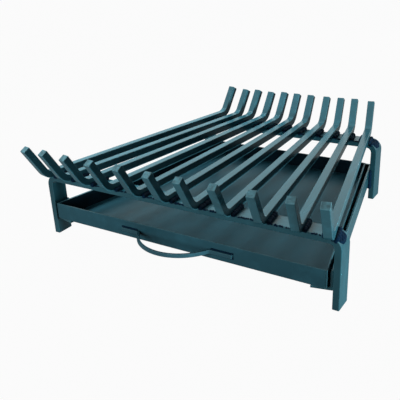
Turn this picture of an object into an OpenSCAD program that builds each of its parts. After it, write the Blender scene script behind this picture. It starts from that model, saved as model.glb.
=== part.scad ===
// Log grate for a hearth. Two arches of flat bar carry a fan of square fire
// bars with turned-up ends, and an ash tray slides on angle rails under them.
// X runs across the grate, +Y to its rear, and Z up from the hearth.
// Inside the modules Y is 0 at the front arch's face and X is 0 at mid width.

/* [Arches] */
// Width across the front arch
front_w = 510; // [450:1:580]
// Width across the rear arch
rear_w = 358; // [320:1:420]
// Height of the arches
arch_h = 106; // [90:1:150]
// Depth from the front arch's face to the rear arch's face
depth = 399; // [340:1:460]
// Breadth of the flat bar
flat_w = 30; // [26:1:40]
// Thickness of the flat bar
flat_t = 10; // [8:0.5:12]
// Outer radius of the arches' corners
arch_r = 18; // [14:1:22]

/* [Fire bars] */
// Side of the square bar
bar_s = 12; // [10:0.5:14]
// Inner radius of the bends
bend_r = 5; // [3:0.5:8]
// Angle that the front ends rise at
front_turn = 59; // [45:1:75]
// Angle that the rear ends rise at
rear_turn = 59; // [45:1:80]
// Level reach of the bars in front of the front arch
front_reach = 7; // [3:0.5:20]
// Level reach of the bars behind the rear arch
rear_reach = 11; // [3:0.5:40]
// Straight length of the front ends
front_tip = 55.5; // [35:0.5:75]
// Straight length of the rear ends
rear_tip = 48.5; // [25:0.5:65]

/* [Rails and stop] */
// Width of each leg of the angle iron
rail_w = 30; // [25:1:35]
// Thickness of the angle iron
rail_t = 4; // [3:0.5:5]
// Height of the rails' underside above the hearth
rail_z = 25.6; // [15:0.2:35]
// Distance of the rails' front ends behind the front arch's face
rail_set = 5; // [0:0.5:15]
// Gap between a rail and a leg, which the weld fills
fit_gap = 0.5; // [0.2:0.1:1]
// Thickness of the rear stop
stop_t = 5; // [3:0.5:8]

/* [Ash tray] */
// Thickness of the tray's sheet
sheet_t = 2; // [1.5:0.25:3]
// Height of the tray's walls
tray_h = 28.2; // [20:0.2:34]
// Distance that the tray stands in front of the front arch
tray_proud = 2.6; // [0:0.2:6]
// Clearance between tray and rails at the front
front_side_gap = 3; // [2:0.5:6]
// Clearance between tray and rails at the rear
rear_side_gap = 6; // [3:0.5:9]
// Height of the tray over the rails, and its distance from the stop
slide_gap = 0.4; // [0.3:0.1:1]

/* [Tray handle] */
// Height of the strip
strip_h = 6; // [5:0.5:12]
// Thickness of the strip
strip_t = 4; // [2:0.5:5]
// Outer radius of the bow
bow_r = 71; // [60:1:85]
// Distance that the bow stands out from the tray
bow_out = 44; // [30:1:55]
// Distance of the bow's middle to the left of the feet's middle
bow_shift = 3; // [0:0.5:10]
// Inner radius of the bends beside the bow
foot_r = 6; // [3:0.5:8]
// Width across the ends of the two feet
feet_w = 196; // [180:1:230]
// Height of the handle's middle above the tray's underside
handle_rise = 13.5; // [8:0.5:18]

/* [Welds] */
// Leg of the weld beads on the arches and rails
bead = 4; // [2:0.5:5]
// Length of the weld beads on the arches
bead_l = 22; // [12:1:24]
// Leg of the weld beads on the handle
small_bead = 2.5; // [1.5:0.5:3]

/* [Hidden] */
$fn = 96;

// The bars lie unevenly, as they were tacked down by hand. These are the places
// where each crosses an arch's face, in percent of half the arch's width.
front_at = [-93.3, -78.5, -62.4, -43.6, -23.3, -4, 15.5, 35.8, 57.1, 77.1, 93.8];
rear_at = [-89.7, -70.8, -54.9, -37.2, -20.1, -3.6, 13.7, 32.8, 50, 66.2, 84.3];
// The ends are cut by hand too: what each is longer or shorter by, in percent.
front_extra = [0, 0, -4, -4, 0, -5, -2, -2, 2, 7, 11];
rear_extra = [3, -3, 0, -3, 1, 0, 0, 0, 1, 3, 0];
last_bar = len(front_at) - 1;

steel = [0.27, 0.39, 0.42];
steel_dark = [0.2, 0.3, 0.34];
sheet = [0.23, 0.35, 0.39];
weld = [0.1, 0.13, 0.15];

// Length by which a cutting shape runs past what it cuts
past = 1;
// The bars' bends: their outer radius, and the flats that each is made of
outer_r = bend_r + bar_s;
bend_steps = 12;

// Where bar i crosses the arches, its turn about Z and its length between them
function front_x(i) = front_at[i] / 100 * front_w / 2;
function rear_x(i) = rear_at[i] / 100 * rear_w / 2;
function bar_turn(i) = atan2(front_x(i) - rear_x(i), depth);
function bar_run(i) = norm([front_x(i) - rear_x(i), depth]);

// The straight lengths of bar i's ends
function front_straight(i) = front_tip * (1 + front_extra[i] / 100);
function rear_straight(i) = rear_tip * (1 + rear_extra[i] / 100);

// How far a turned-up end reaches along its bar, and the corners of its edge
function tip_out(reach, turn, tip) = reach + outer_r * sin(turn) + tip * cos(turn);
function front_out(i) = tip_out(front_reach, front_turn, front_straight(i));
function rear_out(i) = tip_out(rear_reach, rear_turn, rear_straight(i));
function half_y(i) = bar_s / 2 * abs(sin(bar_turn(i)));
function half_x(i) = bar_s / 2 * cos(bar_turn(i));
front_end = max([for (i = [0 : last_bar]) front_out(i) * cos(bar_turn(i)) + half_y(i)]);
rear_end = depth + max([for (i = [0 : last_bar]) rear_out(i) * cos(bar_turn(i)) + half_y(i)]);
tip_xs = [for (i = [0 : last_bar]) front_x(i) + front_out(i) * sin(bar_turn(i))];
right_end = max(concat(front_w / 2, [for (i = [0 : last_bar]) tip_xs[i] + half_x(i)]));
left_end = -min(concat(-front_w / 2, [for (i = [0 : last_bar]) tip_xs[i] - half_x(i)]));
mid_x = (right_end - left_end) / 2;
mid_y = (rear_end - front_end) / 2;

// The rails' outer faces, which run from just inside one leg to the next
rail_front_x = front_w / 2 - flat_t - fit_gap;
rail_rear_x = rear_w / 2 - flat_t - fit_gap;
rear_leg_y = depth - flat_w;
rail_turn = atan2(rail_front_x - rail_rear_x, rear_leg_y);
stop_y = depth - stop_t;
function rail_face(y) = rail_front_x - y * tan(rail_turn);
function rail_wall(y) = rail_face(y) - rail_t / cos(rail_turn);

// The tray's corners
tray_z = rail_z + rail_t + slide_gap;
tray_front = -tray_proud;
tray_rear = stop_y - slide_gap;
tray_front_half = rail_wall(tray_front) - front_side_gap;
tray_rear_half = rail_wall(tray_rear) - rear_side_gap;
tray_turn = atan2(tray_front_half - tray_rear_half, tray_rear - tray_front);
function tray_half(y) = tray_front_half - (y - tray_front) * tan(tray_turn);

// The handle's bow, the bends that carry it into its feet, and where the feet
// end, all measured from the bow's middle
foot_y = strip_t + foot_r;
bow_y = bow_out - bow_r;
foot_x = sqrt(pow(bow_r + foot_r, 2) - pow(foot_y - bow_y, 2));
bow_half = acos((foot_y - bow_y) / (bow_r + foot_r));
right_foot_end = feet_w / 2 + bow_shift;
left_foot_end = feet_w / 2 - bow_shift;
handle_z = tray_z + handle_rise - strip_h / 2;

// Puts the origin under the middle of the whole grate
module seated() {
    translate([-mid_x, -mid_y, 0]) children();
}

// A flat ring cut to the angles from a to b, no more than 130 degrees apart
module ring_part(outer, inner, a, b) {
    far = 3 * outer;
    intersection() {
        difference() {
            circle(outer);
            circle(inner);
        }
        polygon([[0, 0], for (t = [a, (a + b) / 2, b]) far * [cos(t), sin(t)]]);
    }
}

// A shape in the X-Z plane, drawn out along +Y
module along_y(length) {
    translate([0, length, 0]) rotate([90, 0, 0]) linear_extrude(length) children();
}

// A shape drawn in Y and Z, drawn out along +X
module along_x(length) {
    rotate([90, 0, 90]) linear_extrude(length) children();
}

// The outline of an arch without its opening, open below by drop
module arch_outline(w, h, r, drop) {
    translate([-w / 2, -drop]) square([w, h - r + drop]);
    translate([r - w / 2, 0]) square([w - 2 * r, h]);
    for (side = [-1, 1]) translate([side * (w / 2 - r), h - r]) circle(r);
}

// An arch of flat bar with legs that reach the hearth
module arch(w) {
    along_y(flat_w) difference() {
        arch_outline(w, arch_h, arch_r, 0);
        arch_outline(w - 2 * flat_t, arch_h - flat_t, arch_r - flat_t, past);
    }
}

module front_arch() {
    arch(front_w);
}

module rear_arch() {
    translate([0, rear_leg_y, 0]) arch(rear_w);
}

module front_frame() {
    color(steel) seated() front_arch();
}

module rear_frame() {
    color(steel) seated() rear_arch();
}

// A turned-up end seen from the side, as points from the bar's underside out to
// the tip and back to its top. The bend is centred at c and goes to the given side.
function turned_end(c, side, turn, tip) =
    let (
        under = bend_arc(c, side, outer_r, turn),
        over = bend_arc(c, side, bend_r, turn),
        rise = tip * [side * cos(turn), sin(turn)]
    )
    concat(under, [under[bend_steps] + rise, over[bend_steps] + rise], reversed(over));

function bend_arc(c, side, r, turn) =
    [for (k = [0 : bend_steps]) c + r * [side * sin(turn * k / bend_steps), -cos(turn * k / bend_steps)]];

function reversed(points) = [for (k = [len(points) - 1 : -1 : 0]) points[k]];

// Places children on bar i: Y along it from the front arch's face, Z from its underside
module on_bar(i) {
    translate([front_x(i), 0, arch_h]) rotate(bar_turn(i)) children();
}

module fire_bar(i) {
    front = turned_end([-front_reach, outer_r], -1, front_turn, front_straight(i));
    rear = turned_end([bar_run(i) + rear_reach, outer_r], 1, rear_turn, rear_straight(i));
    color(steel) seated() on_bar(i) translate([-bar_s / 2, 0, 0]) along_x(bar_s)
        polygon(concat(rear, reversed(front)));
}

function bar_name(i) = str("fire_bar_", i < 9 ? "0" : "", i + 1);

// The angle iron on the right: its wall stands at the outside, its ledge points inwards
module right_angle_iron() {
    run = (stop_y - fit_gap) / cos(rail_turn);
    translate([rail_front_x, 0, rail_z]) rotate(rail_turn) {
        translate([0, rail_set, 0]) along_y(run - rail_set) {
            translate([-rail_t, 0]) square([rail_t, rail_w]);
            translate([-rail_w, 0]) square([rail_w, rail_t]);
        }
    }
}

module right_rail() {
    color(steel_dark) seated() right_angle_iron();
}

module left_rail() {
    color(steel_dark) seated() mirror([1, 0, 0]) right_angle_iron();
}

module rear_stop() {
    inner_w = rear_w - 2 * flat_t;
    color(steel_dark) seated() translate([-inner_w / 2, stop_y, rail_z]) cube([inner_w, stop_t, rail_w]);
}

// The tray's plan between two Y values, drawn in from its slanted sides by wall
module tray_plan(y1, y2, wall) {
    in = wall / cos(tray_turn);
    polygon([
        [in - tray_half(y1), y1], [tray_half(y1) - in, y1],
        [tray_half(y2) - in, y2], [in - tray_half(y2), y2]
    ]);
}

module ash_tray() {
    color(sheet) seated() translate([0, 0, tray_z]) difference() {
        linear_extrude(tray_h) tray_plan(tray_front, tray_rear, 0);
        translate([0, 0, sheet_t]) linear_extrude(tray_h)
            tray_plan(tray_front + sheet_t, tray_rear - sheet_t, sheet_t);
    }
}

// One side of the handle's outline beyond the bow: the bend beside it and the foot
module handle_foot(end) {
    translate([foot_x, foot_y]) ring_part(foot_r + strip_t, foot_r, 270 - bow_half, 270);
    translate([foot_x, 0]) square([end - foot_x, strip_t]);
}

// Places children on the tray's front: X from the bow's middle, Y away from the tray
// and Z from the handle's underside
module on_front() {
    translate([-bow_shift, tray_front, handle_z]) mirror([0, 1, 0]) children();
}

module tray_handle() {
    color(sheet) seated() on_front() linear_extrude(strip_h) {
        translate([0, bow_y]) ring_part(bow_r, bow_r - strip_t, 90 - bow_half, 90 + bow_half);
        handle_foot(right_foot_end);
        mirror([1, 0]) handle_foot(left_foot_end);
    }
}

// The corner bead beside a bar: X away from the bar's side, Z from the arch's top.
// It reaches down by sink where the arch's corner falls away.
module bar_bead(sink) {
    along_y(bead_l) polygon([[0, -sink], [bead, -sink], [bead, 0], [0, bead]]);
}

// Beads on both sides of every bar, start being where they begin along bar i
module bead_row(i, start) {
    on_bar(i) translate([0, start, 0]) for (side = [0, 1]) mirror([side, 0, 0])
        translate([bar_s / 2, 0, 0]) bar_bead(arch_r / 4);
}

module front_bar_welds() {
    start = (flat_w - bead_l) / 2;
    color(weld) seated() for (i = [0 : last_bar]) difference() {
        bead_row(i, start);
        front_arch();
    }
}

module rear_bar_welds() {
    start = (flat_w + bead_l) / 2;
    color(weld) seated() for (i = [0 : last_bar]) difference() {
        bead_row(i, bar_run(i) - start);
        rear_arch();
    }
}

// The beads on the right rail: in the wedge beside the front leg, and at the rear leg's corner
module right_rail_beads() {
    leg_x = front_w / 2 - flat_t;
    rear_x = rear_w / 2 - flat_t;
    start = flat_w - 2 * bead;
    back = rear_leg_y - 2 * bead;
    translate([0, 0, rail_z + rail_t]) linear_extrude(rail_w - 2 * rail_t) {
        polygon([[rail_face(start), start], [leg_x, start], [leg_x, flat_w], [rail_face(flat_w), flat_w]]);
        polygon([
            [rail_face(rear_leg_y), rear_leg_y], [rail_face(back), back],
            [rear_x + bead, rear_leg_y], [rear_x, rear_leg_y]
        ]);
    }
}

module rail_welds() {
    color(weld) seated() for (side = [0, 1]) mirror([side, 0, 0]) right_rail_beads();
}

// The beads over and under one foot of the handle, against the tray's front
module foot_beads(end) {
    translate([foot_x, 0, strip_h]) along_x(end - foot_x)
        polygon([[0, 0], [small_bead, 0], [0, small_bead]]);
    translate([foot_x, 0, 0]) along_x(end - foot_x)
        polygon([[0, 0], [0, -small_bead], [small_bead, 0]]);
}

module handle_welds() {
    color(weld) seated() on_front() {
        foot_beads(right_foot_end);
        mirror([1, 0, 0]) foot_beads(left_foot_end);
    }
}

front_frame();
rear_frame();
left_rail();
right_rail();
rear_stop();
for (i = [0 : last_bar]) {
    fire_bar(i);
}
ash_tray();
tray_handle();
front_bar_welds();
rear_bar_welds();
rail_welds();
handle_welds();
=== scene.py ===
import math
import random

import bmesh
import bpy
from bpy.props import FloatProperty, FloatVectorProperty, IntProperty, PointerProperty
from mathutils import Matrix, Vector


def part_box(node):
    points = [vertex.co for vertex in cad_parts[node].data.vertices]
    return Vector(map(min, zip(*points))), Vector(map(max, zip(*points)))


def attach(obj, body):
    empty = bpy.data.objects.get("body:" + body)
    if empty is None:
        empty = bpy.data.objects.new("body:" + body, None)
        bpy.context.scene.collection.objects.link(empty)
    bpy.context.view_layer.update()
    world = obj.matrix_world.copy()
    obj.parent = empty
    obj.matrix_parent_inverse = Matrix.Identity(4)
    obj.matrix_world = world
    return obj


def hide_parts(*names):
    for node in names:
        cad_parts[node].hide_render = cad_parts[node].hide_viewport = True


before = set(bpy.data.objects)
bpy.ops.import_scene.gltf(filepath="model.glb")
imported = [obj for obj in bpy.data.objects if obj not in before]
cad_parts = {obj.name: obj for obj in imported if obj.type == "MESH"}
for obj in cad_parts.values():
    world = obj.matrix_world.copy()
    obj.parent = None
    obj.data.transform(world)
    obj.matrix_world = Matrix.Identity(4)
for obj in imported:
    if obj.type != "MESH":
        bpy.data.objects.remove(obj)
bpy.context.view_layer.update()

bl_info = {
    "name": "Log grate",
    "version": (1, 0, 0),
    "blender": (4, 5, 0),
    "location": "View3D > Sidebar > Log grate",
    "description": "Dresses the log grate's frame in painted steel, weld beads and wear",
    "category": "Object",
}

MM = 0.001
NEAR = 0.05 * MM  # points nearer than this count as level or as one

# Steps of a rounding or a bend
EDGE_STEPS = 3
BAR_BEND_STEPS = 12
ARCH_BEND_STEPS = 14
TOE_STEPS = 4
ROOT_STEPS = 6
FOLD_STEPS = 6
BEND_STEPS = 8
BOW_STEPS = 48

PAINT_IOR = 1.5
DUSTY_IOR = 1.3
# For the painted shade on the tray's inner walls
INNER_WALL_SHADE_IOR = 1.2
WELD_IOR = 1.18

# The room and the floor, as the camera and as gloss see them
WHITE = (1, 1, 1, 1)
COOL = (0.77, 0.97, 1, 1)
FLOOR_SEEN = 0.96
FLOOR_MIRRORED = 0.18

BAR_NODES = sorted(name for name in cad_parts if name.startswith("fire_bar_"))
# Arches that get the heavy weld with painted shade over the right bend, and spatter with a painted
# shade line along the front edge
SPATTER_AND_SHADE_ARCHES = {"front_bar_welds": "front_frame", "rear_bar_welds": "rear_frame"}


# ---------------------------------------------------------------- properties


class GrateShapes(bpy.types.PropertyGroup):
    """Sizes of the details that the frame leaves out"""

    bar_edge: FloatProperty(
        name="Bar edge", description="Rounding of the rolled bars' long edges",
        default=0.9 * MM, min=0.1 * MM, max=3 * MM, unit="LENGTH")
    bar_bend: FloatProperty(
        name="Bar bend", description="What the bars' bends are rounder by than the frame's",
        default=9 * MM, min=0, max=12 * MM, unit="LENGTH")
    flat_edge: FloatProperty(
        name="Flat bar edge", description="Rounding of the arches' long edges",
        default=1.1 * MM, min=0.1 * MM, max=3 * MM, unit="LENGTH")
    cut_edge: FloatProperty(
        name="Cut edge", description="Rounding of the arches', rails' and handle's sawn ends",
        default=0.7 * MM, min=0.1 * MM, max=2 * MM, unit="LENGTH")
    tip_edge: FloatProperty(
        name="Tip edge", description="Rounding of the fire bars' dressed ends",
        default=1.0 * MM, min=0.1 * MM, max=3 * MM, unit="LENGTH")
    rail_root: FloatProperty(
        name="Rail root", description="Rounding inside the angle iron",
        default=4 * MM, min=1 * MM, max=6 * MM, unit="LENGTH")
    tray_fold: FloatProperty(
        name="Tray fold", description="Outer radius of the tray's folded edges",
        default=2.6 * MM, min=1 * MM, max=5 * MM, unit="LENGTH")
    tray_rim: FloatProperty(
        name="Tray rim", description="Rounding of the tray's cut rim",
        default=0.4 * MM, min=0.1 * MM, max=1 * MM, unit="LENGTH")
    tray_seam: FloatProperty(
        name="Tray seam", description="Gap between the tray's walls at its corners",
        default=0.25 * MM, min=0, max=1 * MM, unit="LENGTH")
    strip_edge: FloatProperty(
        name="Strip edge", description="Rounding of the handle strip's edges",
        default=0.6 * MM, min=0.1 * MM, max=1.4 * MM, unit="LENGTH")
    # The beads are drawn wider than the frame's, so that their dark paint also covers the shade
    # beside each bar.
    bead_size: FloatProperty(
        name="Bead size", description="Width of a weld bead's ripples",
        default=7.4 * MM, min=2 * MM, max=9 * MM, unit="LENGTH")
    # The drops along each arch's top front edge are partly weld spatter and partly a painted shade
    # line along the edge.
    spatter_and_edge_shade_size: FloatProperty(
        name="Spatter size", description="Width of the drops that welding left beside the beads",
        default=2.1 * MM, min=0.2 * MM, max=3 * MM, unit="LENGTH")
    spatter_and_edge_shade_count: IntProperty(
        name="Spatter count", description="Drops of spatter along each arch's front edge",
        default=520, min=0, max=1500)
    # The heavy weld over each arch's right bend also paints, with its dark drops, the shade that
    # the outermost bar casts there.
    corner_weld_and_shade_count: IntProperty(
        name="Pool count", description="Drops in the heavy weld over an arch's right bend",
        default=220, min=1, max=500)
    corner_weld_and_shade_depth: FloatProperty(
        name="Pool depth", description="How deep the heavy weld's drops lie in the arch",
        default=2.6 * MM, min=1 * MM, max=3.5 * MM, unit="LENGTH")


class GrateFinish(bpy.types.PropertyGroup):
    """Colours of the paint, the painted shade in the tray and the steel on edges, which is partly
    wear and partly painted highlight
    """

    bar_paint: FloatVectorProperty(
        name="Bar paint", description="Paint on the fire bars",
        subtype="COLOR", size=3, min=0, max=1, default=(0.019, 0.088, 0.117))
    arch_paint: FloatVectorProperty(
        name="Arch paint", description="Paint on the arches and rails",
        subtype="COLOR", size=3, min=0, max=1, default=(0.017, 0.089, 0.119))
    tray_paint: FloatVectorProperty(
        name="Tray paint", description="Paint on the ash tray and its handle",
        subtype="COLOR", size=3, min=0, max=1, default=(0.014, 0.054, 0.073))
    # Near-black weld colour, which beside the bars also stands for painted shade.
    weld_and_shade_paint: FloatVectorProperty(
        name="Weld paint", description="Paint on the weld beads",
        subtype="COLOR", size=3, min=0, max=1, default=(0.001, 0.006, 0.015))
    # Painted shade: the tray's inner walls are drawn near-black.
    inner_wall_shade: FloatVectorProperty(
        name="Soot", description="Soot on the ash tray's inner walls",
        subtype="COLOR", size=3, min=0, max=1, default=(0.002, 0.008, 0.013))
    # The cut ends' lighter, greyer colour is partly thin paint on steel and partly a painted
    # sheen.
    cut_steel_and_sheen: FloatVectorProperty(
        name="Cut steel", description="Thin paint on the bars' cut ends",
        subtype="COLOR", size=3, min=0, max=1, default=(0.040, 0.110, 0.135))
    # Painted shade: upright faces are drawn at these shares of the paint's lightness, darker than
    # faces that look up.
    bar_side_shade: FloatProperty(
        name="Bar sides", description="How light the bars' paint is on upright faces",
        default=0.66, min=0, max=1)
    arch_side_shade: FloatProperty(
        name="Arch sides", description="How light the arches' paint is on upright faces",
        default=0.47, min=0, max=1)
    tray_side_shade: FloatProperty(
        name="Tray sides", description="How light the tray's paint is on upright faces",
        default=0.8, min=0, max=1)
    # The lighter colour along edges is partly wear and partly a painted highlight on the rounded
    # edges.
    worn_steel_and_highlight: FloatVectorProperty(
        name="Worn steel", description="Thin paint on edges, where the steel shows through",
        subtype="COLOR", size=3, min=0, max=1, default=(0.08, 0.20, 0.23))


class GrateStage(bpy.types.PropertyGroup):
    """Camera and lights"""

    camera_place: FloatVectorProperty(
        name="Camera place", description="Where the camera stands",
        subtype="TRANSLATION", unit="LENGTH", size=3, default=(0.4871, -0.8641, 0.4689))
    camera_turn: FloatVectorProperty(
        name="Camera turn", description="The camera's rotation about X, Y and Z",
        subtype="EULER", unit="ROTATION", size=3,
        default=(math.radians(66.302), math.radians(2.677), math.radians(32.390)))
    lens: FloatProperty(
        name="Lens", description="Focal length in millimetres on a 36 mm wide sensor",
        default=56.06, min=20, max=200)
    world_level: FloatProperty(
        name="World level", description="Brightness of the white room",
        default=0.012, min=0, max=2)


# ------------------------------------------------------- measuring the frame


def corners(node):
    """The distinct corner points of a CAD node."""
    found = {}
    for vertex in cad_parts[node].data.vertices:
        found[tuple(round(c, 5) for c in vertex.co)] = vertex.co.copy()
    return list(found.values())


def middle(points):
    """The mean of some points."""
    return sum(points, Vector()) / len(points)


def turn_end(outer, inner, along, level):
    """A bar's turned-up end: the middle of its cut end and the corner where its
    centreline meets the level one. outer and inner are the cut's two edges."""
    tip = (outer + inner) / 2
    across = inner - outer
    rise = Vector((-across.z * along.x, -across.z * along.y, across.dot(along)))
    if rise.z < 0:
        rise = -rise
    corner = tip - rise * ((tip.z - level) / rise.z)
    return tip, corner


def bar_measures(node):
    """A fire bar's centreline, side and bend radius, read from its CAD node."""
    points = corners(node)
    low = min(p.z for p in points)
    flat = sorted((p for p in points if p.z < low + NEAR), key=lambda p: p.y)
    front, rear = middle(flat[:2]), middle(flat[-2:])
    side = (flat[0] - flat[1]).length
    along = (rear - front).normalized()
    level = low + side / 2
    ends = []
    for start, outward in ((front, -along), (rear, along)):
        here = [p for p in points if (p - start).dot(outward) > NEAR]
        outer = middle(sorted(here, key=lambda p: (p - start).dot(outward))[-2:])
        inner = middle(sorted(here, key=lambda p: p.z)[-2:])
        tip, corner = turn_end(outer, inner, outward, level)
        ends.append((tip, corner, start))
    (tip, corner, start), (rear_tip, rear_corner, _) = ends
    turn = (tip - corner).angle(-along)
    reach = (corner - start).dot(-along)
    return [tip, corner, rear_corner, rear_tip], side, reach / math.tan(turn / 2)


def arch_measures(node):
    """An arch's centreline, thickness, breadth and the bend radius of its centreline."""
    low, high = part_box(node)
    points = corners(node)
    feet = sorted({round(p.x, 5) for p in points if p.z < low.z + NEAR})
    thick = feet[1] - feet[0]
    corner_foot = max(p.z for p in points if p.x < low.x + NEAR)
    y = (low.y + high.y) / 2
    x1, x2, z = low.x + thick / 2, high.x - thick / 2, high.z - thick / 2
    path = [Vector((x1, y, low.z)), Vector((x1, y, z)), Vector((x2, y, z)), Vector((x2, y, low.z))]
    return path, thick, high.y - low.y, high.z - corner_foot - thick / 2


def rail_measures(node):
    """A rail's outer bottom edge from front to rear, its inward direction, leg and thickness."""
    points = sorted(corners(node), key=lambda p: p.y)
    outward = math.copysign(1, points[0].x)
    half = len(points) // 2
    ends = []
    for end in (points[:half], points[half:]):
        foot = min(p.z for p in end)
        ends.append(max((p for p in end if p.z < foot + NEAR), key=lambda p: p.x * outward))
    front, rear = ends
    inward = (rear - front).cross(Vector((0, 0, 1))).normalized()
    if inward.x * outward > 0:
        inward = -inward
    high = max(p.z for p in points)
    leg = max((p - front).dot(inward) for p in points)
    thick = max((p - front).dot(inward) for p in points if p.z > high - NEAR)
    return front, rear, inward, leg, thick


def tray_measures(node):
    """The tray's middle x, front and rear (y, half width), its foot, its rim and its sheet."""
    points = corners(node)
    levels = sorted({round(p.z, 5) for p in points})
    foot = [p for p in points if p.z < levels[0] + NEAR]
    ends = []
    for y in (min(p.y for p in foot), max(p.y for p in foot)):
        xs = [p.x for p in foot if abs(p.y - y) < NEAR]
        ends.append((y, (max(xs) - min(xs)) / 2))
    mid = sum(p.x for p in foot) / len(foot)
    return mid, ends[0], ends[1], levels[0], levels[-1], levels[1] - levels[0]


def handle_measures(node):
    """The handle strip's centreline in plan, its thickness and its height."""
    low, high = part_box(node)
    back = sorted({round(p.x, 5) for p in corners(node) if p.y > high.y - NEAR})
    mid, bend_x = (back[-2] + back[1]) / 2, (back[-2] - back[1]) / 2
    points = [Vector((p.x - mid, p.y)) for p in corners(node)]
    end_ys = [p.y for p in points if p.x > high.x - mid - NEAR]
    thick = max(end_ys) - min(end_ys)
    crown_from, crown_to = (low.y + (high.y - low.y) * share for share in (0.05, 0.3))
    crown = [p for p in points if crown_from < p.y < crown_to]
    outer = max((p.x ** 2 + (p.y - low.y) ** 2) / (2 * (p.y - low.y)) for p in crown)
    bow, bow_y, foot_y = outer - thick / 2, low.y + outer, high.y - thick / 2
    rise = foot_y - bow_y
    bend = (bend_x ** 2 + rise ** 2 - bow ** 2) / (2 * (bow + rise))
    meet = math.degrees(math.atan2(bend_x, bow_y - foot_y + bend))
    turn = arc(bend_x, foot_y - bend, bend, 90, 90 + meet, BEND_STEPS)
    line = [(high.x - mid, foot_y)] + turn
    line += arc(0, bow_y, bow, -90 + meet, -90 - meet, BOW_STEPS)[1:-1]
    line += [(-x, y) for x, y in reversed(turn)] + [(low.x - mid, foot_y)]
    z = (low.z + high.z) / 2
    return [Vector((mid + x, y, z)) for x, y in line], thick, high.z - low.z


def solids(node):
    """The corner points of each separate solid of a CAD node."""
    mesh = bmesh.new()
    mesh.from_mesh(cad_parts[node].data)
    bmesh.ops.remove_doubles(mesh, verts=mesh.verts, dist=NEAR / 5)
    left, found = set(mesh.verts), []
    while left:
        reached, edge = set(), {left.pop()}
        while edge:
            reached |= edge
            edge = {e.other_vert(v) for v in edge for e in v.link_edges} - reached
        left -= reached
        found.append([v.co.copy() for v in reached])
    mesh.free()
    return sorted(found, key=lambda points: tuple(round(c, 4) for c in middle(points)))


# ------------------------------------------------------------ geometry nodes


def sweep_tree():
    """Sweeps a rounded rectangle along the piece's own edges, with rounded bends."""
    tree = bpy.data.node_groups.new("Bent bar", "GeometryNodeTree")
    face = tree.interface
    face.new_socket("Geometry", in_out="INPUT", socket_type="NodeSocketGeometry")
    for name in ("Across", "Deep", "Edge radius", "Bend radius"):
        face.new_socket(name, in_out="INPUT", socket_type="NodeSocketFloat")
    face.new_socket("Bend steps", in_out="INPUT", socket_type="NodeSocketInt")
    face.new_socket("Round bends", in_out="INPUT", socket_type="NodeSocketBool")
    face.new_socket("Material", in_out="INPUT", socket_type="NodeSocketMaterial")
    face.new_socket("Geometry", in_out="OUTPUT", socket_type="NodeSocketGeometry")
    add, link = tree.nodes.new, tree.links.new
    inputs = add("NodeGroupInput")
    path = add("GeometryNodeMeshToCurve")
    bends = add("GeometryNodeFilletCurve")
    bends.mode = "POLY"
    choice = add("GeometryNodeSwitch")
    choice.input_type = "GEOMETRY"
    section = add("GeometryNodeCurvePrimitiveQuadrilateral")
    rounded = add("GeometryNodeFilletCurve")
    rounded.mode = "POLY"
    rounded.inputs["Count"].default_value = EDGE_STEPS
    sweep = add("GeometryNodeCurveToMesh")
    sweep.inputs["Fill Caps"].default_value = True
    realize = add("GeometryNodeRealizeInstances")
    paint = add("GeometryNodeSetMaterial")
    result = add("NodeGroupOutput")
    link(inputs.outputs["Geometry"], path.inputs["Mesh"])
    link(path.outputs["Curve"], bends.inputs["Curve"])
    link(inputs.outputs["Bend steps"], bends.inputs["Count"])
    link(inputs.outputs["Bend radius"], bends.inputs["Radius"])
    link(inputs.outputs["Round bends"], choice.inputs["Switch"])
    link(path.outputs["Curve"], choice.inputs["False"])
    link(bends.outputs["Curve"], choice.inputs["True"])
    link(inputs.outputs["Across"], section.inputs["Width"])
    link(inputs.outputs["Deep"], section.inputs["Height"])
    link(section.outputs["Curve"], rounded.inputs["Curve"])
    link(inputs.outputs["Edge radius"], rounded.inputs["Radius"])
    link(choice.outputs["Output"], sweep.inputs["Curve"])
    link(rounded.outputs["Curve"], sweep.inputs["Profile Curve"])
    link(sweep.outputs["Mesh"], realize.inputs["Geometry"])
    link(realize.outputs["Geometry"], paint.inputs["Geometry"])
    link(inputs.outputs["Material"], paint.inputs["Material"])
    link(paint.outputs["Geometry"], result.inputs["Geometry"])
    return tree


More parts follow.
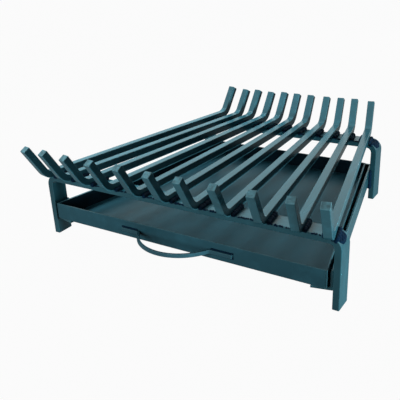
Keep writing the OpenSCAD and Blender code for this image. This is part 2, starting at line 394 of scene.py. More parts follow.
def bead_tree():
    """Lays overlapping drops of weld on the piece's own points, each of its own size and turn."""
    tree = bpy.data.node_groups.new("Weld drops", "GeometryNodeTree")
    face = tree.interface
    face.new_socket("Geometry", in_out="INPUT", socket_type="NodeSocketGeometry")
    face.new_socket("Drop size", in_out="INPUT", socket_type="NodeSocketFloat")
    face.new_socket("Size spread", in_out="INPUT", socket_type="NodeSocketFloat")
    face.new_socket("Seed", in_out="INPUT", socket_type="NodeSocketInt")
    face.new_socket("Material", in_out="INPUT", socket_type="NodeSocketMaterial")
    face.new_socket("Geometry", in_out="OUTPUT", socket_type="NodeSocketGeometry")
    add, link = tree.nodes.new, tree.links.new
    inputs = add("NodeGroupInput")
    drop = add("GeometryNodeMeshIcoSphere")
    drop.inputs["Subdivisions"].default_value = 2
    smallest = add("ShaderNodeMath")
    smallest.operation = "SUBTRACT"
    smallest.inputs[0].default_value = 1
    largest = add("ShaderNodeMath")
    largest.operation = "ADD"
    largest.inputs[0].default_value = 1
    size = add("FunctionNodeRandomValue")
    size.data_type = "FLOAT"
    turn = add("FunctionNodeRandomValue")
    turn.data_type = "FLOAT_VECTOR"
    turn.inputs["Max"].default_value = (math.tau, math.tau, math.tau)
    place = add("GeometryNodeInstanceOnPoints")
    realize = add("GeometryNodeRealizeInstances")
    paint = add("GeometryNodeSetMaterial")
    result = add("NodeGroupOutput")
    link(inputs.outputs["Size spread"], smallest.inputs[1])
    link(inputs.outputs["Size spread"], largest.inputs[1])
    floats = [s for s in size.inputs if s.type == "VALUE"]
    link(smallest.outputs[0], floats[0])
    link(largest.outputs[0], floats[1])
    link(inputs.outputs["Seed"], size.inputs["Seed"])
    link(inputs.outputs["Seed"], turn.inputs["Seed"])
    link(inputs.outputs["Drop size"], drop.inputs["Radius"])
    link(inputs.outputs["Geometry"], place.inputs["Points"])
    link(drop.outputs["Mesh"], place.inputs["Instance"])
    link(turn.outputs[0], place.inputs["Rotation"])
    link([s for s in size.outputs if s.type == "VALUE"][0], place.inputs["Scale"])
    link(place.outputs["Instances"], realize.inputs["Geometry"])
    link(realize.outputs["Geometry"], paint.inputs["Geometry"])
    link(inputs.outputs["Material"], paint.inputs["Material"])
    link(paint.outputs["Geometry"], result.inputs["Geometry"])
    return tree


def grown(obj, tree, values):
    """Runs a tree on an object with the given inputs and keeps the result as its mesh."""
    modifier = obj.modifiers.new(tree.name, "NODES")
    modifier.node_group = tree
    for item in tree.interface.items_tree:
        if item.item_type == "SOCKET" and item.in_out == "INPUT" and item.name in values:
            modifier[item.identifier] = values[item.name]
    depsgraph = bpy.context.evaluated_depsgraph_get()
    mesh = bpy.data.meshes.new_from_object(obj.evaluated_get(depsgraph))
    obj.modifiers.remove(modifier)
    old = obj.data
    obj.data = mesh
    mesh.name = old.name
    bpy.data.meshes.remove(old)
    return obj


# --------------------------------------------------------------- mesh making


def new_object(name, mesh):
    """An object at the origin that shows a mesh."""
    obj = bpy.data.objects.new(name, mesh)
    bpy.context.scene.collection.objects.link(obj)
    return obj


def path_object(name, points):
    """An object whose mesh is one open line through the points."""
    mesh = bpy.data.meshes.new(name)
    mesh.from_pydata([tuple(p) for p in points], [(i, i + 1) for i in range(len(points) - 1)], [])
    return new_object(name, mesh)


def points_object(name, points):
    """An object whose mesh is loose points."""
    mesh = bpy.data.meshes.new(name)
    mesh.from_pydata([tuple(p) for p in points], [], [])
    return new_object(name, mesh)


def arc(cx, cy, radius, start, end, steps):
    """Points round an arc, with its angles in degrees."""
    angles = [math.radians(start + (end - start) * i / steps) for i in range(steps + 1)]
    return [(cx + radius * math.cos(a), cy + radius * math.sin(a)) for a in angles]


def loft(name, first, last):
    """A closed solid between two outlines with matching points."""
    mesh = bpy.data.meshes.new(name)
    count = len(first)
    faces = [(i, (i + 1) % count, count + (i + 1) % count, count + i) for i in range(count)]
    faces += [tuple(range(count)), tuple(range(count, 2 * count))]
    mesh.from_pydata([tuple(p) for p in first + last], [], faces)
    return new_object(name, outward(mesh))


def outward(mesh):
    """Turns a mesh's faces outwards."""
    work = bmesh.new()
    work.from_mesh(mesh)
    bmesh.ops.recalc_face_normals(work, faces=work.faces)
    work.to_mesh(mesh)
    work.free()
    return mesh


def joined(name, objects):
    """One object that holds the meshes of several."""
    work = bmesh.new()
    for obj in objects:
        work.from_mesh(obj.data)
    mesh = bpy.data.meshes.new(name)
    work.to_mesh(mesh)
    work.free()
    for material in objects[0].data.materials:
        mesh.materials.append(material)
    for obj in objects:
        bpy.data.objects.remove(obj)
    return new_object(name, mesh)


def folded_sheet(name, first, last):
    """A bent sheet between two ends. Each end is a list of (outer, inner) points."""
    count = len(first)
    points = [p for end in (first, last) for pair in end for p in pair]
    faces = []
    for i in range(count - 1):
        outer, inner = 2 * i, 2 * i + 1
        far = 2 * count
        faces.append((outer, outer + 2, far + outer + 2, far + outer))
        faces.append((inner, far + inner, far + inner + 2, inner + 2))
        faces.append((outer, inner, inner + 2, outer + 2))
        faces.append((far + outer, far + outer + 2, far + inner + 2, far + inner))
    end = 2 * (count - 1)
    faces.append((0, 2 * count, 2 * count + 1, 1))
    faces.append((end, end + 1, 2 * count + end + 1, 2 * count + end))
    mesh = bpy.data.meshes.new(name)
    mesh.from_pydata([tuple(p) for p in points], [], faces)
    return new_object(name, outward(mesh))


def smooth(obj):
    """Smooth shading on every face."""
    for polygon in obj.data.polygons:
        polygon.use_smooth = True


def finish_edges(obj, width, segments=2, sharper_than=50):
    """Rounds the sharp edges, with the angle in degrees, and shades flat faces flat."""
    bevel = obj.modifiers.new("Cut edges", "BEVEL")
    bevel.width = width
    bevel.segments = segments
    bevel.limit_method = "ANGLE"
    bevel.angle_limit = math.radians(sharper_than)
    smooth(obj)
    weighted = obj.modifiers.new("Even shading", "WEIGHTED_NORMAL")
    weighted.weight = 100


def hand_over(obj, body, node):
    """Makes obj ride on a body and stand for a CAD node."""
    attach(obj, body)
    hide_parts(node)


# ----------------------------------------------------------------- materials


class Painter:
    """Adds and links nodes in one material's tree."""

    def __init__(self, name):
        self.material = bpy.data.materials.new(name)
        self.material.use_nodes = True
        self.tree = self.material.node_tree
        self.shader = self.tree.nodes["Principled BSDF"]
        self.place = self.node("ShaderNodeTexCoord").outputs["Object"]

    def node(self, kind, **settings):
        """A new node of a kind, with some of its settings."""
        made = self.tree.nodes.new(kind)
        for key, value in settings.items():
            setattr(made, key, value)
        return made

    def put(self, socket, value):
        """Links a socket into another, or sets the other's value."""
        if isinstance(value, bpy.types.NodeSocket):
            self.tree.links.new(value, socket)
        else:
            socket.default_value = value

    def noise(self, scale, detail=3, roughness=0.5, stretch=(1, 1, 1)):
        """A grey noise pattern, scale repeats to the metre, stretched along the axes."""
        mapping = self.node("ShaderNodeMapping")
        self.put(mapping.inputs["Vector"], self.place)
        mapping.inputs["Scale"].default_value = stretch
        noise = self.node("ShaderNodeTexNoise")
        self.put(noise.inputs["Vector"], mapping.outputs["Vector"])
        noise.inputs["Scale"].default_value = scale
        noise.inputs["Detail"].default_value = detail
        noise.inputs["Roughness"].default_value = roughness
        return noise.outputs["Fac"]

    def band(self, value, low, high, out_low=0.0, out_high=1.0):
        """Maps low..high to out_low..out_high, held at its ends."""
        ranged = self.node("ShaderNodeMapRange")
        self.put(ranged.inputs["Value"], value)
        ranged.inputs["From Min"].default_value = low
        ranged.inputs["From Max"].default_value = high
        ranged.inputs["To Min"].default_value = out_low
        ranged.inputs["To Max"].default_value = out_high
        return ranged.outputs["Result"]

    def sum(self, operation, a, b):
        """The result of one step of arithmetic."""
        made = self.node("ShaderNodeMath", operation=operation)
        self.put(made.inputs[0], a)
        self.put(made.inputs[1], b)
        return made.outputs[0]

    def mix(self, share, a, b):
        """A colour between a and b."""
        made = self.node("ShaderNodeMix", data_type="RGBA")
        self.put(made.inputs["Factor"], share)
        colours = [s for s in made.inputs if s.type == "RGBA"]
        self.put(colours[0], a)
        self.put(colours[1], b)
        return [s for s in made.outputs if s.type == "RGBA"][0]

    def edges(self, radius):
        """1 within a radius of an edge, 0 on flat faces."""
        bevel = self.node("ShaderNodeBevel", samples=6)
        bevel.inputs["Radius"].default_value = radius
        flat = self.node("ShaderNodeNewGeometry").outputs["Normal"]
        agree = self.node("ShaderNodeVectorMath", operation="DOT_PRODUCT")
        self.put(agree.inputs[0], bevel.outputs["Normal"])
        self.put(agree.inputs[1], flat)
        return self.band(agree.outputs["Value"], low=0.995, high=0.90)

    def upward(self, low, high):
        """1 on faces that look up, 0 on upright ones: the mask for the painted shade that darkens
        upright faces.
        """
        split = self.node("ShaderNodeSeparateXYZ")
        normal = self.node("ShaderNodeTexCoord").outputs["Normal"]
        self.put(split.inputs["Vector"], normal)
        return self.band(split.outputs["Z"], low, high)

    def darker(self, colour, share):
        """A colour at a share of its lightness."""
        made = self.node("ShaderNodeVectorMath", operation="SCALE")
        self.put(made.inputs["Vector"], colour)
        self.put(made.inputs["Scale"], share)
        return made.outputs["Vector"]

    def bump(self, height, distance):
        """Roughens the surface by a pattern, which is distance high."""
        made = self.node("ShaderNodeBump")
        made.inputs["Strength"].default_value = 1.0
        made.inputs["Distance"].default_value = distance
        self.put(made.inputs["Height"], height)
        self.put(self.shader.inputs["Normal"], made.outputs["Normal"])


def rgba(colour, level=1.0):
    """A property's colour as a node socket wants it, made lighter or darker."""
    return tuple(min(1.0, c * level) for c in colour) + (1.0,)


def painted_steel(name, colour, sides, gloss, grain, orange_peel, wear_and_highlight_radius=1.4 * MM, rim=None,
                  shine=PAINT_IOR):
    """Dark paint over rolled steel: sides is the lightness of upright faces, a painted
    shade that leaves the faces that look up lighter, gloss the (least, most) roughness,
    grain the stretch of its streaks, orange_peel the height of the paint's ripple,
    wear_and_highlight_radius how far its wear and painted edge highlight reach from an edge, rim
    the height of a top edge, just below which a thin band is lightened as a painted
    highlight, and shine its index of refraction."""
    paint = Painter(name)
    wear_and_highlight = rgba(bpy.context.scene.grate_finish.worn_steel_and_highlight)
    cloud = paint.noise(scale=9, detail=4)
    streak = paint.noise(scale=60, detail=4, roughness=0.6, stretch=grain)
    speck = paint.noise(scale=1400, detail=2, roughness=0.6)
    tone = paint.mix(paint.band(cloud, 0.3, 0.7), rgba(colour, 0.82), rgba(colour, 1.22))
    streaked = paint.band(streak, 0.5, 0.8, out_low=0, out_high=0.5)
    tone = paint.mix(streaked, tone, rgba(colour, 1.9))
    # Painted shade: faces that don't look up take the darker colour.
    tone = paint.mix(paint.upward(0.6, 0.9), paint.darker(tone, sides), tone)
    # Lighter colour near edges, broken by noise: partly wear, partly a painted edge highlight.
    broken = paint.band(paint.noise(scale=180, detail=3, roughness=0.7), 0.42, 0.62)
    wear_and_highlight_share = paint.sum("MULTIPLY", paint.edges(wear_and_highlight_radius), broken)
    tone = paint.mix(wear_and_highlight_share, tone, wear_and_highlight)
    # Painted highlight: a thin band just below the top rim is lightened towards the edge colour.
    if rim:
        height = paint.node("ShaderNodeSeparateXYZ")
        paint.put(height.inputs["Vector"], paint.place)
        low, high, rim_highlight = rim - 0.9 * MM, rim - 0.3 * MM, 0.2
        tone = paint.mix(paint.band(height.outputs["Z"], low, high, 0, rim_highlight), tone, wear_and_highlight)
    paint.put(paint.shader.inputs["Base Color"], tone)
    least, most = gloss
    rough = paint.band(paint.sum("ADD", streak, cloud), 0.7, 1.3, least, most)
    paint.put(paint.shader.inputs["Roughness"], rough)
    paint.shader.inputs["IOR"].default_value = shine
    ripple = paint.noise(scale=700, detail=2)
    for pattern, share in ((speck, 0.4), (streak, 0.6)):
        ripple = paint.sum("ADD", ripple, paint.sum("MULTIPLY", pattern, share))
    paint.bump(ripple, orange_peel)
    return paint.material


def bar_finish():
    finish = bpy.context.scene.grate_finish
    return painted_steel(
        "Bar paint", finish.bar_paint, finish.bar_side_shade, gloss=(0.16, 0.28), grain=(1, 0.06, 1),
        orange_peel=0.05 * MM)


def arch_finish():
    finish = bpy.context.scene.grate_finish
    return painted_steel(
        "Arch paint", finish.arch_paint, finish.arch_side_shade, gloss=(0.16, 0.28),
        grain=(0.3, 1, 0.3), orange_peel=0.07 * MM)


def rail_finish():
    finish = bpy.context.scene.grate_finish
    return painted_steel(
        "Rail paint", finish.arch_paint, finish.arch_side_shade, gloss=(0.18, 0.3), grain=(1, 0.1, 1),
        orange_peel=0.07 * MM)


def tray_finish():
    finish = bpy.context.scene.grate_finish
    return painted_steel(
        "Tray paint", finish.tray_paint, finish.tray_side_shade, gloss=(0.28, 0.4),
        grain=(0.5, 0.2, 0.5), orange_peel=0.04 * MM, wear_and_highlight_radius=0.5 * MM,
        rim=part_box("ash_tray")[1].z, shine=DUSTY_IOR)


def handle_finish():
    finish = bpy.context.scene.grate_finish
    return painted_steel(
        "Handle paint", finish.tray_paint, finish.tray_side_shade, gloss=(0.28, 0.4),
        grain=(0.2, 1, 1), orange_peel=0.05 * MM, wear_and_highlight_radius=0.8 * MM)


def cut_finish():
    """Thin paint over a sawn and dressed end, streaked by the saw; its lighter, greyer colour also
    paints a sheen on the ends.
    """
    colour = bpy.context.scene.grate_finish.cut_steel_and_sheen
    paint = Painter("Cut end")
    cloud = paint.noise(scale=150, detail=3, roughness=0.6)
    saw = paint.noise(scale=700, detail=2, stretch=(0.06, 1, 1))
    tone = paint.mix(paint.band(cloud, 0.35, 0.65), rgba(colour, 0.6), rgba(colour, 1.5))
    paint.put(paint.shader.inputs["Base Color"], tone)
    rough = paint.band(saw, 0.35, 0.65, out_low=0.26, out_high=0.45)
    paint.put(paint.shader.inputs["Roughness"], rough)
    paint.shader.inputs["IOR"].default_value = PAINT_IOR
    paint.bump(paint.sum("ADD", saw, cloud), 0.12 * MM)
    return paint.material


def inner_wall_shade_finish():
    """Painted shade on the tray's inner walls: near-black, rough paint with a faint cloud."""
    colour = bpy.context.scene.grate_finish.inner_wall_shade
    paint = Painter("Soot")
    cloud = paint.noise(scale=40, detail=4, roughness=0.6)
    tone = paint.mix(paint.band(cloud, 0.35, 0.65), rgba(colour, 0.6), rgba(colour, 1.4))
    paint.put(paint.shader.inputs["Base Color"], tone)
    rough = paint.band(cloud, 0.3, 0.7, out_low=0.6, out_high=0.8)
    paint.put(paint.shader.inputs["Roughness"], rough)
    paint.shader.inputs["IOR"].default_value = INNER_WALL_SHADE_IOR
    paint.bump(paint.noise(scale=700, detail=3, roughness=0.6), 0.08 * MM)
    return paint.material


def weld_and_shade_finish():
    """Dark, rough paint over a rippled weld bead; the dark beads beside the bars also paint the
    shade there.
    """
    colour = bpy.context.scene.grate_finish.weld_and_shade_paint
    paint = Painter("Weld paint")
    cloud = paint.noise(scale=220, detail=4, roughness=0.6)
    tone = paint.mix(paint.band(cloud, 0.4, 0.65), rgba(colour), rgba(colour, 1.4))
    paint.put(paint.shader.inputs["Base Color"], tone)
    rough = paint.band(cloud, 0.3, 0.7, out_low=0.5, out_high=0.75)
    paint.put(paint.shader.inputs["Roughness"], rough)
    paint.shader.inputs["IOR"].default_value = WELD_IOR
    paint.bump(paint.noise(scale=900, detail=3, roughness=0.6), 0.2 * MM)
    return paint.material


# ----------------------------------------------------------------- operators


class GRATE_OT_arches(bpy.types.Operator):
    """Makes the two arches of bent flat bar"""

    bl_idname = "grate.arches"
    bl_label = "Arches"

    def execute(self, context):
        shapes = context.scene.grate_shapes
        tree, paint = sweep_tree(), arch_finish()
        for node in ("front_frame", "rear_frame"):
            path, thick, broad, bend = arch_measures(node)
            arch = grown(path_object(node + "_bar", path), tree, {
                "Across": thick, "Deep": broad, "Edge radius": shapes.flat_edge,
                "Bend radius": bend, "Bend steps": ARCH_BEND_STEPS, "Round bends": True,
                "Material": paint})
            finish_edges(arch, shapes.cut_edge)
            hand_over(arch, "grate", node)
        return {"FINISHED"}


class GRATE_OT_fire_bars(bpy.types.Operator):
    """Makes the fan of square bars with turned-up ends"""

    bl_idname = "grate.fire_bars"
    bl_label = "Fire bars"

    def execute(self, context):
        shapes = context.scene.grate_shapes
        tree, paint, cut = sweep_tree(), bar_finish(), cut_finish()
        for node in BAR_NODES:
            path, side, bend = bar_measures(node)
            bar = grown(path_object(node + "_bar", path), tree, {
                "Across": side, "Deep": side, "Edge radius": shapes.bar_edge,
                "Bend radius": bend + shapes.bar_bend, "Bend steps": BAR_BEND_STEPS,
                "Round bends": True, "Material": paint})
            bar.data.materials.append(cut)
            for polygon in bar.data.polygons:
                to_ends = [(polygon.center - end).length for end in (path[0], path[-1])]
                polygon.material_index = int(min(to_ends) < side / 10)
            finish_edges(bar, shapes.tip_edge, segments=3)
            hand_over(bar, "grate", node)
        return {"FINISHED"}


class GRATE_OT_rails(bpy.types.Operator):
    """Makes the two angle irons that the tray slides on, and the stop behind it"""

    bl_idname = "grate.rails"
    bl_label = "Rails and stop"

    def execute(self, context):
        shapes = context.scene.grate_shapes
        paint = rail_finish()
        for node in ("left_rail", "right_rail"):
            front, rear, inward, leg, thick = rail_measures(node)
            outline = [inward * u + Vector((0, 0, v))
                       for u, v in angle_outline(leg, thick, shapes.rail_root)]
            rail = loft(node + "_iron", *[[end + p for p in outline] for end in (front, rear)])
            rail.data.materials.append(paint)
            finish_edges(rail, shapes.cut_edge)
            hand_over(rail, "grate", node)
        low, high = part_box("rear_stop")
        outline = [(low.x, low.z), (high.x, low.z), (high.x, high.z), (low.x, high.z)]
        ends = [[Vector((x, y, z)) for x, z in outline] for y in (low.y, high.y)]
        stop = loft("rear_stop_bar", *ends)
        stop.data.materials.append(paint)
        finish_edges(stop, shapes.cut_edge)
        hand_over(stop, "grate", "rear_stop")
        return {"FINISHED"}


def angle_outline(leg, thick, root):
    """An angle iron's section, (inward, up) from its heel, with a rounded root and toes."""
    toe = thick * 0.6
    points = [(0, 0), (leg, 0)]
    points += arc(leg - toe, thick - toe, toe, 0, 90, TOE_STEPS)
    points += arc(thick + root, thick + root, root, 270, 180, ROOT_STEPS)
    points += arc(thick - toe, leg - toe, toe, 0, 90, TOE_STEPS)
    return points + [(0, leg)]


class GRATE_OT_tray(bpy.types.Operator):
    """Makes the ash tray of folded sheet"""

    bl_idname = "grate.tray"
    bl_label = "Ash tray"

    def execute(self, context):
        shapes = context.scene.grate_shapes
        mid, front, rear, low, high, sheet = tray_measures("ash_tray")
        fold = shapes.tray_fold
        lean = math.atan2(front[1] - rear[1], rear[0] - front[0])

        def half(y):
            return front[1] - (y - front[0]) * math.tan(lean)

        def side_end(y, inwards):
            pairs = []
            for side in (-1, 1):
                turned = fold_pairs(high, low, fold, sheet)
                here = []
                for (out_u, out_z), (in_u, in_z) in turned:
                    back = y + inwards * max(0, low + fold - out_z)
                    here.append((
                        Vector((mid + side * (half(back) - out_u / math.cos(lean)), back, out_z)),
                        Vector((mid + side * (half(back) - in_u / math.cos(lean)), back, in_z))))
                pairs += here if side < 0 else reversed(here)
            return pairs

        def cross_wall(name, y, inwards):
            ends = []
            for side in (-1, 1):
                here = []
                for outer, inner in fold_pairs(high, low, fold, sheet):
                    pair = []
                    for u, z in (outer, inner):
                        at = y + inwards * u
                        x = half(at) - (sheet + shapes.tray_seam) / math.cos(lean)
                        pair.append(Vector((mid + side * x, at, z)))
                    here.append(tuple(pair))
                ends.append(here)
            return folded_sheet(name, *ends)

        channel = folded_sheet("Channel", side_end(front[0], 1), side_end(rear[0], -1))
        walls = [cross_wall("Front wall", front[0], 1), cross_wall("Rear wall", rear[0], -1)]
        tray = joined("ash_tray_sheet", [channel] + walls)
        tray.data.materials.append(tray_finish())
        # Painted shade: faces that look into the tray take this second, near-black material.
        tray.data.materials.append(inner_wall_shade_finish())
        centre = Vector((mid, (front[0] + rear[0]) / 2, 0))
        facing_in = 0.35
        for polygon in tray.data.polygons:
            inwards = (centre - polygon.center).xy.normalized()
            polygon.material_index = int(polygon.normal.xy.dot(inwards) > facing_in)
        finish_edges(tray, shapes.tray_rim)
        hand_over(tray, "tray", "ash_tray")
        return {"FINISHED"}


def fold_pairs(high, low, fold, sheet):
    """A wall and its fold as (outer, inner) points, each (distance in from its face, z)."""
    outer = [(0, high)] + arc(fold, low + fold, fold, 180, 270, FOLD_STEPS)
    inner = [(sheet, high)] + arc(fold, low + fold, fold - sheet, 180, 270, FOLD_STEPS)
    return list(zip(outer, inner))


class GRATE_OT_handle(bpy.types.Operator):
    """Makes the tray's bowed handle of flat strip"""

    bl_idname = "grate.handle"
    bl_label = "Tray handle"

    def execute(self, context):
        shapes = context.scene.grate_shapes
        path, thick, tall = handle_measures("tray_handle")
        handle = grown(path_object("tray_handle_strip", path), sweep_tree(), {
            "Across": thick, "Deep": tall, "Edge radius": shapes.strip_edge,
            "Round bends": False, "Material": handle_finish()})
        finish_edges(handle, shapes.cut_edge)
        hand_over(handle, "tray", "tray_handle")
        return {"FINISHED"}


class GRATE_OT_welds(bpy.types.Operator):
    """Lays the rippled weld beads where the frame has its plain ones"""

    bl_idname = "grate.welds"
    bl_label = "Welds"

    def execute(self, context):
        shapes = context.scene.grate_shapes
        tree, paint = bead_tree(), weld_and_shade_finish()
        rows = (
            ("front_bar_welds", "grate", 1.0, Vector((0, 1, 0))),
            ("rear_bar_welds", "grate", 1.0, Vector((0, 1, 0))),
            ("rail_welds", "grate", 1.0, Vector((0, 0, 1))),
            ("handle_welds", "tray", 0.3, Vector((1, 0, 0))))
        for seed, (node, body, size, way) in enumerate(rows, 1):
            radius = shapes.bead_size * size / 2
            scatter = random.Random(seed)
            points = []
            for solid in solids(node):
                points += bead_points(solid, way, radius, scatter)
            ripples = drops(tree, node + "_beads", points, radius, 0.15, seed, paint)
            if node in SPATTER_AND_SHADE_ARCHES:
                arch = SPATTER_AND_SHADE_ARCHES[node]
                # Heavy weld over the right bend, whose dark drops also paint the outermost bar's
                # shade.
                points = corner_weld_and_shade_points(arch, shapes.corner_weld_and_shade_count, shapes.corner_weld_and_shade_depth, scatter)
                pool = drops(tree, "pool", points, radius, 0.2, seed, paint)
                # Spatter along the top front edge, which also paints a dark shade line there.
                points = spatter_and_edge_shade_points(arch, shapes.spatter_and_edge_shade_count, scatter)
                spatter = drops(tree, "spatter", points, shapes.spatter_and_edge_shade_size / 2, 0.6, seed, paint)
                ripples = joined(node + "_beads", [ripples, pool, spatter])
            smooth(ripples)
            hand_over(ripples, body, node)
        return {"FINISHED"}


def drops(tree, name, points, radius, spread, seed, paint):
    """Drops of weld on some points, whose sizes differ by a spread."""
    return grown(points_object(name, points), tree, {
        "Drop size": radius, "Size spread": spread, "Seed": seed, "Material": paint})


def spatter_and_edge_shade_points(arch, count, scatter):
    """Points strewn along an arch's top front edge, for spatter whose dark drops also paint a
    shade line along that edge.
    """
    low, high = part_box(arch)
    spread = (high.x - low.x) / 2 * 0.9
    set_back, unevenness, lowest = 0.2 * MM, 0.3 * MM, 1.3 * MM
    points = []
    for _ in range(count):
        x = scatter.uniform(-spread, spread)
        y = low.y + scatter.gauss(set_back, unevenness)
        z = high.z - scatter.uniform(0, lowest)
        points.append(Vector((x, y, z)))
    return points


def corner_weld_and_shade_points(arch, count, depth, scatter):
    """Points of the heavy weld that runs from the outermost bar over an arch's right bend; its
    dark drops also paint the shade that this bar casts there. They fill an oval on the bend, with
    its turn in degrees and its breadth as a share."""
    _, thick, broad, bend = arch_measures(arch)
    low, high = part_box(arch)
    outer = bend + thick / 2
    sunk = outer - depth
    mid_turn, half_turn = 62, 34
    mid_breadth, half_breadth = 0.46, 0.38
    points = []
    for _ in range(count):
        reach = math.sqrt(scatter.random())
        around = scatter.uniform(0, math.tau)
        turn = math.radians(mid_turn + half_turn * reach * math.cos(around))
        x = high.x - outer + sunk * math.cos(turn)
        z = high.z - outer + sunk * math.sin(turn)
        y = low.y + broad * (mid_breadth + half_breadth * reach * math.sin(around))
        points.append(Vector((x, y, z)))
    return points


def bead_points(solid, way, radius, scatter):
    """Points along a plain bead's middle, a quarter of a drop's width apart and a little
    unsteady. The rippled bead is longer than the plain one, by shares of the radius."""
    front_run, rear_run, spacing, unsteady = 1.4, 0.5, 0.5, 0.12
    ordered = sorted(solid, key=lambda p: p.dot(way))
    count = len(ordered) // 2
    first, last = middle(ordered[:count]), middle(ordered[count:])
    along = (last - first).normalized() * radius
    first, last = first - along * front_run, last + along * rear_run
    steps = max(2, round((last - first).length / (radius * spacing)))
    points = []
    for i in range(steps + 1):
        shake = Vector((scatter.uniform(-1, 1), scatter.uniform(-1, 1), scatter.uniform(-1, 1)))
        points.append(first.lerp(last, i / steps) + shake * radius * unsteady)
    return points


PIECES = (GRATE_OT_arches, GRATE_OT_fire_bars, GRATE_OT_rails, GRATE_OT_tray, GRATE_OT_handle,
          GRATE_OT_welds)


# Each light's name, place, target, (width, height) and power in watts
LAMPS = (
    ("Top light", (-0.6, 0.12, 0.75), (0, 0, 0.1), (0.35, 0.35), 14),
    ("Right light", (1.5, -0.19, 0.05), (0, -0.1, 0.08), (0.12, 0.06), 56),
    ("Front light", (-0.25, -1.15, 0.26), (0, -0.2, 0.08), (0.5, 0.5), 13),
    ("Back light", (0.3, 2.0, 0.3), (0, 0.2, 0.06), (0.8, 0.4), 24))


class GRATE_OT_stage(bpy.types.Operator):
    """Sets up the floor, the room, the lights and the camera"""

    bl_idname = "grate.stage"
    bl_label = "Stage"

    def execute(self, context):
        stage = context.scene.grate_stage
        add_floor()
        add_room(stage.world_level)
        for lamp in LAMPS:
            add_lamp(*lamp)
        add_camera(stage)
        context.scene.view_settings.view_transform = "Standard"
        return {"FINISHED"}


def shown_white(tree, white, seen, mirrored):
    """The share of a glow that the camera sees, and that gloss and glass reflect. The glow,
    whose shader is white, is white to the camera and cool in gloss."""
    rays = tree.nodes.new("ShaderNodeLightPath")
    tone = tree.nodes.new("ShaderNodeMix")
    tone.data_type = "RGBA"
    colours = [s for s in tone.inputs if s.type == "RGBA"]
    colours[0].default_value = COOL
    colours[1].default_value = WHITE
    tree.links.new(rays.outputs["Is Camera Ray"], tone.inputs["Factor"])
    tree.links.new([s for s in tone.outputs if s.type == "RGBA"][0], white.inputs["Color"])
    total = None
    for ray, share in (("Camera", seen), ("Glossy", mirrored), ("Transmission", mirrored)):
        step = tree.nodes.new("ShaderNodeMath")
        step.operation = "MULTIPLY_ADD"
        tree.links.new(rays.outputs[f"Is {ray} Ray"], step.inputs[0])
        step.inputs[1].default_value = share
        step.inputs[2].default_value = 0
        if total:
            tree.links.new(total, step.inputs[2])
        total = step.outputs[0]
    return total


def add_floor():
    """A pale floor that keeps a faint shadow."""
    mesh = bpy.data.meshes.new("Floor")
    reach = 30
    places = [(-reach, -reach, 0), (reach, -reach, 0), (reach, reach, 0), (-reach, reach, 0)]
    mesh.from_pydata(places, [], [(0, 1, 2, 3)])
    floor = new_object("Floor", mesh)
    material = bpy.data.materials.new("Pale floor")
    material.use_nodes = True
    tree = material.node_tree
    shader = tree.nodes["Principled BSDF"]
    shader.inputs["Base Color"].default_value = (0.06, 0.06, 0.06, 1)
    shader.inputs["Roughness"].default_value = 0.9
    white = tree.nodes.new("ShaderNodeEmission")
    white.inputs["Strength"].default_value = 1.0
    mix = tree.nodes.new("ShaderNodeMixShader")
    share = shown_white(tree, white, FLOOR_SEEN, FLOOR_MIRRORED)
    tree.links.new(share, mix.inputs["Fac"])
    tree.links.new(shader.outputs["BSDF"], mix.inputs[1])
    tree.links.new(white.outputs["Emission"], mix.inputs[2])
    tree.links.new(mix.outputs["Shader"], tree.nodes["Material Output"].inputs["Surface"])
    mesh.materials.append(material)


def add_room(level):
    """An even white room, seen white by the camera."""
    world = bpy.data.worlds.new("White room")
    bpy.context.scene.world = world
    world.use_nodes = True
    tree = world.node_tree
    background = tree.nodes["Background"]
    background.inputs["Color"].default_value = (0.9, 0.98, 1, 1)
    background.inputs["Strength"].default_value = level
    white = tree.nodes.new("ShaderNodeBackground")
    white.inputs["Strength"].default_value = 1.0
    mix = tree.nodes.new("ShaderNodeMixShader")
    tree.links.new(shown_white(tree, white, 1, 1), mix.inputs["Fac"])
    tree.links.new(background.outputs["Background"], mix.inputs[1])
    tree.links.new(white.outputs["Background"], mix.inputs[2])
    tree.links.new(mix.outputs["Shader"], tree.nodes["World Output"].inputs["Surface"])


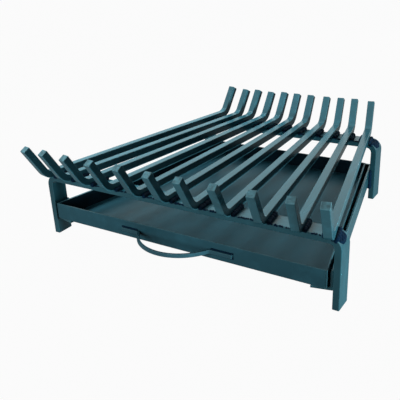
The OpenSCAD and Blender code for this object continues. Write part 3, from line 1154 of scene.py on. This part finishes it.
def add_lamp(name, place, target, size, power):
    """A soft rectangular light, (wide, tall), that faces a target and isn't mirrored in gloss."""
    data = bpy.data.lights.new(name, "AREA")
    data.shape = "RECTANGLE"
    data.size, data.size_y = size
    data.energy = power
    lamp = bpy.data.objects.new(name, data)
    lamp.location = place
    lamp.rotation_euler = (Vector(target) - Vector(place)).to_track_quat("-Z", "Y").to_euler()
    lamp.visible_glossy = False
    bpy.context.scene.collection.objects.link(lamp)


def add_camera(stage):
    """The camera, where the photograph was taken from."""
    data = bpy.data.cameras.new("Camera")
    data.lens = stage.lens
    data.sensor_width = 36
    data.clip_end = 100
    camera = bpy.data.objects.new("Camera", data)
    camera.location = stage.camera_place
    camera.rotation_euler = stage.camera_turn
    bpy.context.scene.collection.objects.link(camera)
    bpy.context.scene.camera = camera


class GRATE_PT_panel(bpy.types.Panel):
    """Lists the grate's pieces"""

    bl_idname = "GRATE_PT_panel"
    bl_label = "Log grate"
    bl_space_type = "VIEW_3D"
    bl_region_type = "UI"
    bl_category = "Log grate"

    def draw(self, context):
        for piece in PIECES + (GRATE_OT_stage,):
            self.layout.operator(piece.bl_idname)
        scene = context.scene
        for group in (scene.grate_shapes, scene.grate_finish, scene.grate_stage):
            for name in group.bl_rna.properties.keys():
                if name not in ("name", "rna_type"):
                    self.layout.prop(group, name)


CLASSES = (GrateShapes, GrateFinish, GrateStage) + PIECES + (GRATE_OT_stage, GRATE_PT_panel)


def register():
    for cls in CLASSES:
        bpy.utils.register_class(cls)
    bpy.types.Scene.grate_shapes = PointerProperty(type=GrateShapes)
    bpy.types.Scene.grate_finish = PointerProperty(type=GrateFinish)
    bpy.types.Scene.grate_stage = PointerProperty(type=GrateStage)


def unregister():
    del bpy.types.Scene.grate_stage
    del bpy.types.Scene.grate_finish
    del bpy.types.Scene.grate_shapes
    for cls in reversed(CLASSES):
        bpy.utils.unregister_class(cls)


def main():
    register()
    for name in ("Cube", "Light", "Camera"):
        if name in bpy.data.objects:
            bpy.data.objects.remove(bpy.data.objects[name])
    bpy.ops.grate.arches()
    bpy.ops.grate.fire_bars()
    bpy.ops.grate.rails()
    bpy.ops.grate.tray()
    bpy.ops.grate.handle()
    bpy.ops.grate.welds()
    bpy.ops.grate.stage()


if __name__ == "__main__":
    main()
